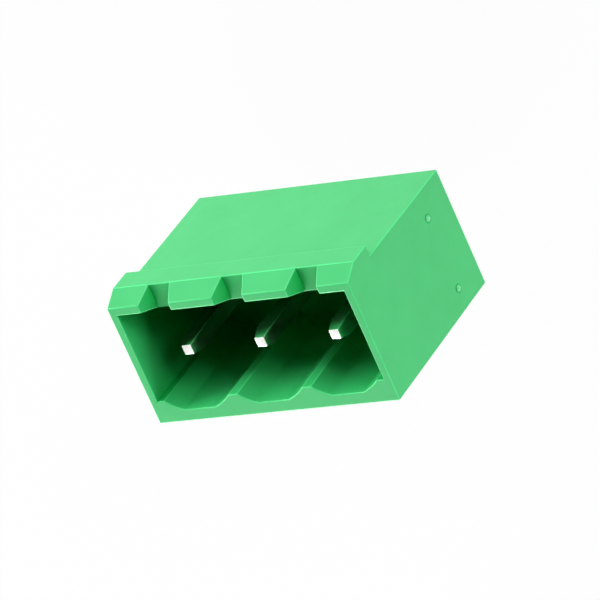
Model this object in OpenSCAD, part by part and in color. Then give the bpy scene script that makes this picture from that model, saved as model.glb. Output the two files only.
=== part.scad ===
// Pluggable terminal block, board half: a closed-end housing with a row of square pins.
// The housing stands on a circuit board at Z = 0 and the plug slides in downwards, against +Z.
// The pin row lies on Y = 0. The wall with the latch rib and the coding notches faces +Y,
// and the scalloped wall, whose hollows fit the plug's rounded poles, faces -Y.

/* [Poles] */
// Number of poles
poles = 3; // [2:1:6]
// Distance between neighbouring pins
pitch = 5.08; // [5:0.02:7.62]

/* [Housing] */
// Height of the housing above the board
body_h = 12; // [10:0.1:16]
// Thickness of the base that grips the pins
base_t = 3.4; // [2.6:0.1:4.5]
// Pin row to the outer face of the scalloped wall
row_to_scalloped_face = 4.03; // [3.9:0.01:5]
// Pin row to the outer face of the coding wall, at the board
row_to_coding_face = 3.77; // [3.4:0.01:5]
// Thickness of the coding wall, at the board
coding_wall = 0.8; // [0.6:0.05:1.2]
// Outward lean of the coding wall over its height, in degrees
coding_lean = 0.7; // [0:0.1:1.5]
// Thickness of each end wall
end_wall = 0.49; // [0.4:0.01:1.2]
// Room beside the outer poles of the plug
end_room = 0.175; // [0.1:0.005:0.6]

/* [Latch rib] */
// How far the rib stands out from the coding wall
rib_h = 0.66; // [0.4:0.02:1]
// Rib's back face to the mouth, along the plug's travel
rib_depth = 2.95; // [2.2:0.05:4]
// How far the slope in front of it drops by the mouth
rib_drop = 0.6; // [0.3:0.02:0.8]

/* [Lip] */
// Depth of the lip: the latch slope, the coding notches and the lead-in all end there
lip_depth = 1.28; // [0.8:0.02:1.8]
// How far the lead-in opens the mouth
lead_in_rise = 0.46; // [0.2:0.02:0.6]
// Width of a coding notch at the mouth
notch_mouth_w = 2.1; // [1.6:0.05:3]
// Width of a coding notch at its back
notch_back_w = 1.44; // [1:0.02:2.4]

/* [Scallops] */
// Wall left under the bottom of a scallop
scallop_wall = 0.78; // [0.5:0.02:1.2]
// Height of the ridges between scallops
ridge_h = 0.7; // [0.3:0.02:1.2]
// Width of a scallop's flat bottom
scallop_flat_w = 2.1; // [1.4:0.05:3]
// Width of a ridge's flat top
ridge_flat_w = 0.6; // [0.3:0.05:1]
// Radius of the hollow flanks
flank_r = 3.5; // [2.5:0.1:12]

/* [Pins] */
// Width of a square pin
pin_w = 1; // [0.8:0.05:1.2]
// Play between a pin and its hole, on each side
pin_play = 0.01; // [0:0.01:0.05]
// Mouth of the housing to the tips of the pins
tip_setback = 1.17; // [0.6:0.01:3]
// Length of the taper at a pin's tip
tip_taper = 0.85; // [0.3:0.05:1.5]
// Width of a pin at its tip
tip_w = 0.62; // [0.3:0.02:0.78]
// Length of the solder tails below the board's face
tail_len = 3.9; // [2:0.1:6]
// Length of the taper at a tail's end
tail_taper = 0.5; // [0.2:0.05:1]
// Width of a tail at its end
tail_end_w = 0.6; // [0.3:0.02:0.78]
// Size of the bevel around each hole, on the board side
hole_bevel = 0.2; // [0.1:0.05:0.5]

/* [Gate marks] */
// Diameter of a gate mark's nub
gate_d = 0.42; // [0.3:0.02:0.6]
// Height of the nub above the end face
gate_h = 0.1; // [0.04:0.01:0.14]
// Width of the shallow dimple around the nub
gate_dimple = 0.15; // [0.1:0.01:0.25]
// Depth of the dimple
gate_dimple_h = 0.08; // [0.04:0.01:0.12]
// Centre of the gate marks below the cavity's floor
gate_below_floor = 0.75; // [0.6:0.05:1.2]
// Outer face of the scalloped wall to the first gate mark
gate_inset = 1.37; // [0.8:0.01:2]
// Distance between the two gate marks
gate_spacing = 4.78; // [3:0.01:5]

/* [Hidden] */

$fn = 48;
// Length by which a cutting shape runs past the face that it opens
past = 1;
// Number of straight steps in a scallop's flank
flank_steps = 5;

inner_w = poles * pitch + 2 * end_room;
body_w = inner_w + 2 * end_wall;
ceiling_y = row_to_coding_face - coding_wall;
valley_y = scallop_wall - row_to_scalloped_face;
ridge_y = valley_y + ridge_h;
tip_z = body_h - tip_setback;
rib_z = body_h - rib_depth;
lip_z = body_h - lip_depth;
rib_top_y = coding_y(rib_z) + rib_h;
tail_z = -tail_len;
hole_w = pin_w + 2 * pin_play;

// Y of the leaning coding wall's outer face at height z
function coding_y(z) = row_to_coding_face + z * tan(coding_lean);
// X of a pole's centre, counted from 1
function pole_x(i) = (i - (poles + 1) / 2) * pitch;

// Points along an arc of radius r from p to q, which bulges to the right of that direction
function arc(p, q, r, steps) =
    let (
        half = norm(q - p) / 2,
        along = (q - p) / (2 * half),
        left = [-along[1], along[0]],
        centre = (p + q) / 2 + left * sqrt(r * r - half * half),
        start = atan2(p[1] - centre[1], p[0] - centre[0]),
        sweep = 2 * asin(half / r)
    )
    [for (k = [0:steps]) centre + r * [cos(start + sweep * k / steps), sin(start + sweep * k / steps)]];

// Radius of the sphere whose cap is d wide and h high
function cap_radius(d, h) = (pow(d / 2, 2) + pow(h, 2)) / (2 * h);

// One pole's scallop, from the ridge on its left to the ridge on its right
function scallop(x) =
    let (
        ridge = (pitch - ridge_flat_w) / 2,
        valley = scallop_flat_w / 2
    )
    concat(
        arc([x - ridge, ridge_y], [x - valley, valley_y], flank_r, flank_steps),
        arc([x + valley, valley_y], [x + ridge, ridge_y], flank_r, flank_steps)
    );

// A Y-Z outline drawn out along X between two ends
module along_x(from, to) {
    translate([from, 0, 0])
        rotate([90, 0, 90])
            linear_extrude(height = to - from)
                children();
}

// An X-Z outline drawn out along Y between two ends
module along_y(from, to) {
    translate([0, to, 0])
        rotate([90, 0, 0])
            linear_extrude(height = to - from)
                children();
}

// The housing's cross-section: base, leaning coding wall and latch rib, still without its cavity
module housing_section() {
    polygon([
        [-row_to_scalloped_face, 0],
        [row_to_coding_face, 0],
        [coding_y(rib_z), rib_z],
        [rib_top_y, rib_z],
        [rib_top_y, lip_z],
        [rib_top_y - rib_drop, body_h],
        [-row_to_scalloped_face, body_h]
    ]);
}

// The room for the plug: straight ceiling on the coding side, scallops on the other
module cavity() {
    translate([0, 0, base_t])
        linear_extrude(height = body_h - base_t + past)
            polygon(concat(
                [[inner_w / 2, ceiling_y], [-inner_w / 2, ceiling_y], [-inner_w / 2, ridge_y]],
                [for (i = [1:poles]) each scallop(pole_x(i))],
                [[inner_w / 2, ridge_y]]
            ));
}

// Slope under the lip that leads the plug in
module lead_in() {
    run_past = past * lead_in_rise / lip_depth;
    along_x(-inner_w / 2, inner_w / 2)
        polygon([
            [ceiling_y - past, lip_z],
            [ceiling_y, lip_z],
            [ceiling_y + lead_in_rise + run_past, body_h + past],
            [ceiling_y - past, body_h + past]
        ]);
}

// Tapered notch through the lip, open to the cavity and to the latch side
module coding_notch() {
    back = notch_back_w / 2;
    mouth = notch_mouth_w / 2;
    mouth_past = mouth + past * (mouth - back) / lip_depth;
    along_y(0, rib_top_y + past)
        polygon([
            [-back, lip_z],
            [back, lip_z],
            [mouth_past, body_h + past],
            [-mouth_past, body_h + past]
        ]);
}

// Square hole through the base, bevelled where the pin is pressed in from the board side
module pin_hole() {
    translate([-hole_w / 2, -hole_w / 2, -past])
        cube([hole_w, hole_w, base_t + 2 * past]);
    intersection() {
        along_x(-hole_w, hole_w) hole_bevel_section();
        along_y(-hole_w, hole_w) hole_bevel_section();
    }
}

module hole_bevel_section() {
    wide = hole_w / 2 + hole_bevel;
    polygon([
        [-hole_w / 2, hole_bevel],
        [-wide, 0],
        [-wide, -past],
        [wide, -past],
        [wide, 0],
        [hole_w / 2, hole_bevel]
    ]);
}

// The places on one end of the base where the moulding gates were
module at_gates() {
    first_y = gate_inset - row_to_scalloped_face;
    for (y = [first_y, first_y + gate_spacing])
        translate([body_w / 2, y, base_t - gate_below_floor])
            children();
}

// Round nub that the broken gate leaves, a ball sunk into the end
module gate_nub() {
    ball_r = cap_radius(gate_d, gate_h);
    translate([gate_h - ball_r, 0, 0])
        sphere(r = ball_r);
}

// Shallow dimple around the nub, cut by a ball that lies outside the end
module gate_dimple_cut() {
    ball_r = cap_radius(gate_d + 2 * gate_dimple, gate_dimple_h);
    translate([ball_r - gate_dimple_h, 0, 0])
        sphere(r = ball_r);
}

module housing() {
    color("mediumseagreen") {
        difference() {
            along_x(-body_w / 2, body_w / 2) housing_section();
            cavity();
            lead_in();
            for (i = [1:poles])
                translate([pole_x(i), 0, 0]) {
                    coding_notch();
                    pin_hole();
                }
            at_gates() gate_dimple_cut();
        }
        at_gates() gate_nub();
    }
}

// A pin's outline, seen from any of its four sides
module pin_section() {
    polygon([
        [-tip_w / 2, tip_z],
        [-pin_w / 2, tip_z - tip_taper],
        [-pin_w / 2, tail_z + tail_taper],
        [-tail_end_w / 2, tail_z],
        [tail_end_w / 2, tail_z],
        [pin_w / 2, tail_z + tail_taper],
        [pin_w / 2, tip_z - tip_taper],
        [tip_w / 2, tip_z]
    ]);
}

// Square pin, tapered on all four sides at both ends
module pin() {
    color("silver")
        intersection() {
            along_x(-pin_w / 2, pin_w / 2) pin_section();
            along_y(-pin_w / 2, pin_w / 2) pin_section();
        }
}

housing();
for (i = [1:poles])
    translate([pole_x(i), 0, 0])
            pin();
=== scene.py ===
import math

import bpy
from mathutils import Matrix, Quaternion, Vector


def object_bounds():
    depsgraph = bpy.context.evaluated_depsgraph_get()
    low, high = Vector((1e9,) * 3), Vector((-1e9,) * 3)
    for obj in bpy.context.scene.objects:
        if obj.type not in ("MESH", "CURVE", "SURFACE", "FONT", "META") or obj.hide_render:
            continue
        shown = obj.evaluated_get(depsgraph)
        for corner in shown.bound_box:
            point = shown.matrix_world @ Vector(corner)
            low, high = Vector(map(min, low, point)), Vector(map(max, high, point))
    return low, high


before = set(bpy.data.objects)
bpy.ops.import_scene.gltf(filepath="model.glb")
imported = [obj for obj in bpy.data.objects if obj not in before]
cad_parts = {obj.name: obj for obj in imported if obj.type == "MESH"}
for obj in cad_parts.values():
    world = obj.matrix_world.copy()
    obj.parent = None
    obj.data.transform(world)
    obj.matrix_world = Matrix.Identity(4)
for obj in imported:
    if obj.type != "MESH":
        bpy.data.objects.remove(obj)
CAD_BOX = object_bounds()
CENTRE = (CAD_BOX[0] + CAD_BOX[1]) / 2

# Lengths are in metres, as in the frame. Textures work in millimetres, through the coordinates' scale.
MM = 0.001

# The housing's two ends lie alike on each side of X = 0, and gate nubs stand out from the one at +X
END_FACE_X = -CAD_BOX[0].x

# Rounding of the moulding's and the pins' edges
HOUSING_EDGE_RADIUS = 0.08 * MM
PIN_EDGE_RADIUS = 0.05 * MM
ROUNDING_STEPS = 4
BLUNT_ANGLE = math.radians(20)
SQUARE_ANGLE = math.radians(85)
LEAST_ROUNDING = 0.6
CRISP_ANGLE = math.radians(26)
FLAT_ANGLE = math.radians(0.3)
SMALLEST_ROUNDED_FACE = 0.06 * MM ** 2
WELD_DISTANCE = 0.0005 * MM


# ---------------------------------------------------------------- node helpers

class Nodes:
    """A node tree that is filled by short calls: add() makes a node, and link() joins two sockets."""

    def __init__(self, tree):
        self.tree = tree
        tree.nodes.clear()

    def add(self, kind, **values):
        node = self.tree.nodes.new(kind)
        for key, value in values.items():
            setattr(node, key, value)
        return node

    def link(self, source, target):
        self.tree.links.new(source, target)

    def set(self, node, **values):
        for key, value in values.items():
            node.inputs[key.replace("_", " ")].default_value = value

    def feed(self, sockets, values):
        """Links or sets each socket, by what its value is. None leaves it alone."""
        for socket, value in zip(sockets, values):
            if isinstance(value, bpy.types.NodeSocket):
                self.link(value, socket)
            elif value is not None:
                socket.default_value = value

    def math(self, operation, first, second=None):
        node = self.add("ShaderNodeMath", operation=operation)
        self.feed(node.inputs, (first, second))
        return node.outputs[0]

    def mix_colour(self, factor, first, second):
        node = self.add("ShaderNodeMix", data_type="RGBA")
        self.feed((node.inputs[0], node.inputs[6], node.inputs[7]), (factor, first, second))
        return node.outputs[2]

    def map_range(self, value, from_range, to_range):
        node = self.add("ShaderNodeMapRange")
        self.set(node, From_Min=from_range[0], From_Max=from_range[1], To_Min=to_range[0], To_Max=to_range[1])
        self.link(value, node.inputs["Value"])
        return node.outputs["Result"]

    def spread(self, noise, to_range):
        """Maps a noise value, which is mostly within NOISE_RANGE, to a range."""
        return self.map_range(noise, NOISE_RANGE, to_range)

    def millimetres(self, stretch=(1, 1, 1)):
        """Object coordinates in millimetres, each axis times its stretch."""
        place = self.add("ShaderNodeMapping")
        place.inputs["Scale"].default_value = [s / MM for s in stretch]
        self.link(self.add("ShaderNodeTexCoord").outputs["Object"], place.inputs["Vector"])
        return place.outputs["Vector"]

    def noise(self, place, per_mm, detail=2.0):
        node = self.add("ShaderNodeTexNoise")
        self.set(node, Scale=per_mm, Detail=detail, Roughness=0.5)
        self.link(place, node.inputs["Vector"])
        return node.outputs["Fac"]

    def bump(self, height, distance, strength):
        node = self.add("ShaderNodeBump")
        self.set(node, Strength=strength, Distance=distance)
        self.link(height, node.inputs["Height"])
        return node.outputs["Normal"]


def material(name):
    made = bpy.data.materials.new(name)
    made.use_nodes = True
    return made, Nodes(made.node_tree)


def put_out(n, shader):
    n.link(shader.outputs[0], n.add("ShaderNodeOutputMaterial").inputs["Surface"])


# ------------------------------------------------------------------- materials

NOISE_RANGE = (0.3, 0.7)
NONE_TO_ALL = (0, 1)
FINE_DETAIL = 3

PLASTIC_DEEP = (0.046, 0.575, 0.166, 1)
PLASTIC_LIGHT = (0.052, 0.61, 0.18, 1)
# Painted highlight: rounded edges are paler
PLASTIC_EDGE_HIGHLIGHT = (0.09, 0.87, 0.28, 1)
# Painted highlight: the broken gate nubs are paler
PLASTIC_GATE_HIGHLIGHT = (0.2, 0.84, 0.38, 1)
# Painted shade: sheltered places, and the colour that bounced light sees, are darker and purer than real
# plastic gives, for a strong contrast
PLASTIC_HOLLOW_SHADE = (0.003, 0.5, 0.075, 1)
PLASTIC_SHADE = (0.01, 0.25, 0.06, 1)
PLASTIC_IOR = 1.53
PLASTIC_SHINE = 0.35
PLASTIC_ROUGHNESS = (0.32, 0.38)
MOTTLE_PER_MM = 0.35
SMEAR_PER_MM = 1.5
GRAIN_PER_MM = 14
GRAIN_DEPTH = 0.004 * MM
GRAIN_STRENGTH = 0.5
NUB_STARTS_AT = 0.01 * MM

# How far around a point counts as shelter, and the share of open directions that is hollow or open
HOLLOW_REACH = 3.5 * MM
HOLLOW_TO_OPEN = (0.45, 0.93)
HOLLOW_RAYS = 8

TIN_DULL = (0.78, 0.77, 0.74, 1)
TIN_BRIGHT = (0.88, 0.88, 0.86, 1)
TIN_ROUGHNESS = (0.14, 0.28)
DRAWN_STRETCH = (1, 1, 0.06)
DRAWN_PER_MM = 9
CLOUDS_PER_MM = 1.2
DRAWN_DEPTH = 0.003 * MM
DRAWN_STRENGTH = 0.4


def plastic_colour(n, place):
    """Mottled green, with painted highlights on rounded edges and on the gate nubs."""
    tone = n.spread(n.noise(place, MOTTLE_PER_MM, FINE_DETAIL), NONE_TO_ALL)
    rounded = n.add("ShaderNodeAttribute", attribute_name="rounded").outputs["Fac"]
    # Painted highlight: the points within rounded edges take a paler colour
    colour = n.mix_colour(rounded, n.mix_colour(tone, PLASTIC_DEEP, PLASTIC_LIGHT), PLASTIC_EDGE_HIGHLIGHT)
    apart = n.add("ShaderNodeSeparateXYZ")
    n.link(place, apart.inputs[0])
    on_nub = n.math("GREATER_THAN", apart.outputs["X"], (END_FACE_X + NUB_STARTS_AT) / MM)
    # Painted highlight on the gate nubs
    return n.mix_colour(on_nub, colour, PLASTIC_GATE_HIGHLIGHT)


def openness(n):
    """0 in hollows and up to 1 where nothing near shelters the place."""
    shelter = n.add("ShaderNodeAmbientOcclusion", samples=HOLLOW_RAYS)
    n.set(shelter, Distance=HOLLOW_REACH)
    return n.map_range(shelter.outputs["AO"], HOLLOW_TO_OPEN, NONE_TO_ALL)


def housing_plastic():
    """Light green polyamide, satin and faintly mottled, with painted shade in hollows and in bounced light.
    """
    made, n = material("housing_plastic")
    place = n.millimetres()
    is_open = openness(n)
    # Painted shade: hollows take a darker colour
    colour = n.mix_colour(is_open, PLASTIC_HOLLOW_SHADE, plastic_colour(n, place))
    bounced = n.add("ShaderNodeLightPath").outputs["Is Diffuse Ray"]
    # Painted shade: light bounced off the plastic sees a darker colour
    colour = n.mix_colour(bounced, colour, PLASTIC_SHADE)

    shader = n.add("ShaderNodeBsdfPrincipled")
    n.set(shader, IOR=PLASTIC_IOR)
    n.link(n.math("MULTIPLY", is_open, PLASTIC_SHINE), shader.inputs["Specular IOR Level"])
    n.link(colour, shader.inputs["Base Color"])
    n.link(n.spread(n.noise(place, SMEAR_PER_MM), PLASTIC_ROUGHNESS), shader.inputs["Roughness"])
    grain = n.noise(place, GRAIN_PER_MM, FINE_DETAIL)
    n.link(n.bump(grain, GRAIN_DEPTH, GRAIN_STRENGTH), shader.inputs["Normal"])
    put_out(n, shader)
    return made


def pin_metal():
    """Bright tin plating on drawn wire: faint lines along the pin and small cloudy patches."""
    made, n = material("pin_metal")
    drawn = n.noise(n.millimetres(DRAWN_STRETCH), DRAWN_PER_MM, FINE_DETAIL)
    cloudy = n.noise(n.millimetres(), CLOUDS_PER_MM, FINE_DETAIL)
    both = n.math("ADD", n.math("MULTIPLY", drawn, 0.5), n.math("MULTIPLY", cloudy, 0.5))

    shader = n.add("ShaderNodeBsdfPrincipled")
    n.set(shader, Metallic=1.0)
    n.link(n.mix_colour(n.spread(cloudy, NONE_TO_ALL), TIN_DULL, TIN_BRIGHT), shader.inputs["Base Color"])
    n.link(n.spread(both, TIN_ROUGHNESS), shader.inputs["Roughness"])
    n.link(n.bump(drawn, DRAWN_DEPTH, DRAWN_STRENGTH), shader.inputs["Normal"])
    put_out(n, shader)
    return made


# ------------------------------------------------------------- rounding of edges

# An edge's mean of its faces' tiny marks is 0.5 or more beside a tiny face, and 0 elsewhere
BESIDE_TINY = 0.25
# A point's mean of its faces' slots is 1 only where all of them belong to a rounded edge
ALL_ROUNDED = 0.9


def modifier_tree(name):
    """A geometry node tree that takes and gives a mesh, with its two end nodes."""
    tree = bpy.data.node_groups.new(name, "GeometryNodeTree")
    for in_out in ("INPUT", "OUTPUT"):
        tree.interface.new_socket("Geometry", in_out=in_out, socket_type="NodeSocketGeometry")
    n = Nodes(tree)
    return tree, n, n.add("NodeGroupInput").outputs[0], n.add("NodeGroupOutput").inputs[0]


def store(n, mesh, name, domain, value):
    node = n.add("GeometryNodeStoreNamedAttribute", data_type="FLOAT", domain=domain)
    node.inputs["Name"].default_value = name
    n.link(mesh, node.inputs["Geometry"])
    n.link(value, node.inputs["Value"])
    return node.outputs[0]


def on_faces(n, value):
    """A value that is taken on the faces first, and then averaged on edges or points."""
    node = n.add("GeometryNodeFieldOnDomain", data_type="FLOAT", domain="FACE")
    n.link(value, node.inputs[0])
    return node.outputs[0]


def edge_marker():
    """Marks the outer edges for rounding, the squarer the more, but none beside a tiny face."""
    tree, n, mesh, end = modifier_tree("edge_marker")
    angle = n.add("GeometryNodeInputMeshEdgeAngle").outputs["Signed Angle"]
    amount = n.map_range(angle, (BLUNT_ANGLE, SQUARE_ANGLE), (LEAST_ROUNDING, 1))
    tiny = n.math("LESS_THAN", n.add("GeometryNodeInputMeshFaceArea").outputs[0], SMALLEST_ROUNDED_FACE)
    weight = n.math("MULTIPLY", amount, n.math("GREATER_THAN", angle, BLUNT_ANGLE))
    weight = n.math("MULTIPLY", weight, n.math("LESS_THAN", on_faces(n, tiny), BESIDE_TINY))
    marked = store(n, mesh, "bevel_weight_edge", "EDGE", weight)
    smooth = n.add("GeometryNodeSetShadeSmooth")
    n.link(marked, smooth.inputs[0])
    n.link(smooth.outputs[0], end)
    return tree


def edge_fader():
    """Stores which points lie within a rounded edge, and keeps the inner edges crisp."""
    tree, n, mesh, end = modifier_tree("edge_fader")
    slot = on_faces(n, n.add("GeometryNodeInputMaterialIndex").outputs[0])
    # This mask says where the painted edge highlight goes
    stored = store(n, mesh, "rounded", "POINT", n.math("GREATER_THAN", slot, ALL_ROUNDED))
    reset = n.add("GeometryNodeSetMaterialIndex")
    n.link(stored, reset.inputs[0])
    angle = n.add("GeometryNodeInputMeshEdgeAngle").outputs["Unsigned Angle"]
    crisp = n.add("GeometryNodeSetShadeSmooth", domain="EDGE")
    crisp.inputs["Shade Smooth"].default_value = False
    n.link(reset.outputs[0], crisp.inputs[0])
    n.link(n.math("GREATER_THAN", angle, CRISP_ANGLE), crisp.inputs["Selection"])
    n.link(crisp.outputs[0], end)
    return tree


def add_tree(node, tree):
    node.modifiers.new(tree.name, "NODES").node_group = tree


def round_edges(node, radius, marker, fader):
    """Rounds a CAD node's edges by modifiers, which leave its own mesh as it is."""
    weld = node.modifiers.new("weld", "WELD")
    weld.merge_threshold = WELD_DISTANCE
    flats = node.modifiers.new("flats", "DECIMATE")
    flats.decimate_type = "DISSOLVE"
    flats.angle_limit = FLAT_ANGLE
    add_tree(node, marker)
    rounded = node.modifiers.new("rounded", "BEVEL")
    rounded.limit_method = "WEIGHT"
    rounded.width = radius
    rounded.segments = ROUNDING_STEPS
    rounded.use_clamp_overlap = False
    rounded.material = 1
    add_tree(node, fader)
    shading = node.modifiers.new("shading", "WEIGHTED_NORMAL")
    shading.keep_sharp = True


def dress(node, finish):
    """Gives a CAD node its finish. The second slot only tells the rounded edges apart on the way."""
    node.data.materials.clear()
    node.data.materials.append(finish)
    node.data.materials.append(finish)


def dress_nodes():
    plastic = housing_plastic()
    metal = pin_metal()
    marker = edge_marker()
    fader = edge_fader()
    for name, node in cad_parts.items():
        is_pin = name.startswith("pin_")
        dress(node, metal if is_pin else plastic)
        round_edges(node, PIN_EDGE_RADIUS if is_pin else HOUSING_EDGE_RADIUS, marker, fader)


# ------------------------------------------------------------------------ stage

WHITE = (1, 1, 1, 1)
FLOOR_COLOUR = (0.8, 0.8, 0.8, 1)
FLOOR_HALF_WIDTH = 1.5
FLOOR_GAP = 0.02 * MM
# Share of plain white in the floor where it is seen. The rest shows the object's shadow.
FLOOR_WHITENESS = 0.96
# Outside the lamps the sky gives no light, and it is only seen
SKY_LIGHT = 0.0
# A ray that no matt surface has scattered yet has a diffuse depth below this
SCATTERED_DEPTH = 0.5


def seen_directly(n):
    """1 for camera rays and for their reflections, which see a plain white background, else 0."""
    path = n.add("ShaderNodeLightPath")
    mirrored = n.math("MAXIMUM", path.outputs["Is Glossy Ray"], path.outputs["Is Transmission Ray"])
    unscattered = n.math("LESS_THAN", path.outputs["Diffuse Depth"], SCATTERED_DEPTH)
    return n.math("MAXIMUM", path.outputs["Is Camera Ray"], n.math("MULTIPLY", mirrored, unscattered))


def mix_by(n, factor, first, second):
    """A mix of two shaders."""
    mix = n.add("ShaderNodeMixShader")
    n.feed(mix.inputs, (factor, first.outputs[0], second.outputs[0]))
    return mix


def floor_material():
    made, n = material("floor_white")
    plain = n.add("ShaderNodeBsdfDiffuse")
    n.set(plain, Color=FLOOR_COLOUR)
    white = n.add("ShaderNodeEmission")
    n.set(white, Color=WHITE, Strength=1.0)
    put_out(n, mix_by(n, n.math("MULTIPLY", seen_directly(n), FLOOR_WHITENESS), plain, white))
    return made


def build_floor():
    mesh = bpy.data.meshes.new("floor")
    z = CAD_BOX[0].z - FLOOR_GAP
    signs = ((-1, -1), (1, -1), (1, 1), (-1, 1))
    corners = [(x * FLOOR_HALF_WIDTH, y * FLOOR_HALF_WIDTH, z) for x, y in signs]
    mesh.from_pydata(corners, [], [(0, 1, 2, 3)])
    floor = bpy.data.objects.new("floor", mesh)
    bpy.context.collection.objects.link(floor)
    floor.data.materials.append(floor_material())


def build_world():
    world = bpy.data.worlds.new("studio")
    world.use_nodes = True
    bpy.context.scene.world = world
    n = Nodes(world.node_tree)
    sky = n.add("ShaderNodeBackground")
    n.set(sky, Color=WHITE, Strength=SKY_LIGHT)
    white = n.add("ShaderNodeBackground")
    n.set(white, Color=WHITE, Strength=1.0)
    mix = mix_by(n, seen_directly(n), sky, white)
    n.link(mix.outputs[0], n.add("ShaderNodeOutputWorld").inputs["Surface"])


# --------------------------------------------------------------- lights, camera

LAMP_WIDTH = 0.2
LAMP_HEIGHT = 0.14
LAMP_DISTANCE = 0.35
LOW = 13
HIGH = 30

# Each lamp's name, azimuth, elevation and share of a full, plain light
LAMPS = (
    ("front_right", 36, LOW, 0.45),
    ("right", 126, LOW, 0.48),
    ("back", 186, LOW, 0.22),
    ("back_left_low", 216, LOW, 0.16),
    ("back_left", 246, LOW, 0.83),
    ("left", 306, LOW, 0.72),
    ("front_left", 336, HIGH, 0.66),
)

SENSOR_WIDTH = 36
FOCAL_LENGTH = 398.66
CAMERA_AZIMUTH = 127.083
CAMERA_ELEVATION = 45.812
CAMERA_ROLL = math.radians(-142.713)
CAMERA_AIM = Vector((0.197, -0.249, 6.152)) * MM
CAMERA_DISTANCE = 380.55 * MM
NEAREST_SEEN = 0.01


def direction(azimuth, elevation):
    """From the object to a place at this azimuth (0 is -Y, 90 is +X) and elevation, both in degrees."""
    a = math.radians(azimuth)
    e = math.radians(elevation)
    return Vector((math.sin(a) * math.cos(e), -math.cos(a) * math.cos(e), math.sin(e)))


def facing(back):
    """The turn that makes a lamp or camera look against this direction."""
    return (-back).to_track_quat("-Z", "Y")


def softbox(name, azimuth, elevation, share):
    """A lamp that faces the object and gives this share of a full, plain light."""
    lamp = bpy.data.lights.new(name, "AREA")
    lamp.shape = "RECTANGLE"
    lamp.size = LAMP_WIDTH
    lamp.size_y = LAMP_HEIGHT
    lamp.energy = share * math.pi ** 2 * LAMP_DISTANCE ** 2
    back = direction(azimuth, elevation)
    holder = bpy.data.objects.new(name, lamp)
    holder.location = CENTRE + back * LAMP_DISTANCE
    holder.rotation_mode = "QUATERNION"
    holder.rotation_quaternion = facing(back)
    bpy.context.collection.objects.link(holder)


def build_camera():
    """A long lens that looks into the mouth, rolled so that the coding wall is on top."""
    data = bpy.data.cameras.new("camera")
    data.sensor_width = SENSOR_WIDTH
    data.lens = FOCAL_LENGTH
    data.clip_start = NEAREST_SEEN
    back = direction(CAMERA_AZIMUTH, CAMERA_ELEVATION)
    camera = bpy.data.objects.new("camera", data)
    camera.location = CAMERA_AIM + back * CAMERA_DISTANCE
    camera.rotation_mode = "QUATERNION"
    camera.rotation_quaternion = facing(back) @ Quaternion((0, 0, 1), CAMERA_ROLL)
    bpy.context.collection.objects.link(camera)
    bpy.context.scene.camera = camera


dress_nodes()
build_floor()
build_world()
for lamp_row in LAMPS:
    softbox(*lamp_row)
build_camera()

bpy.context.scene.view_settings.view_transform = "Standard"
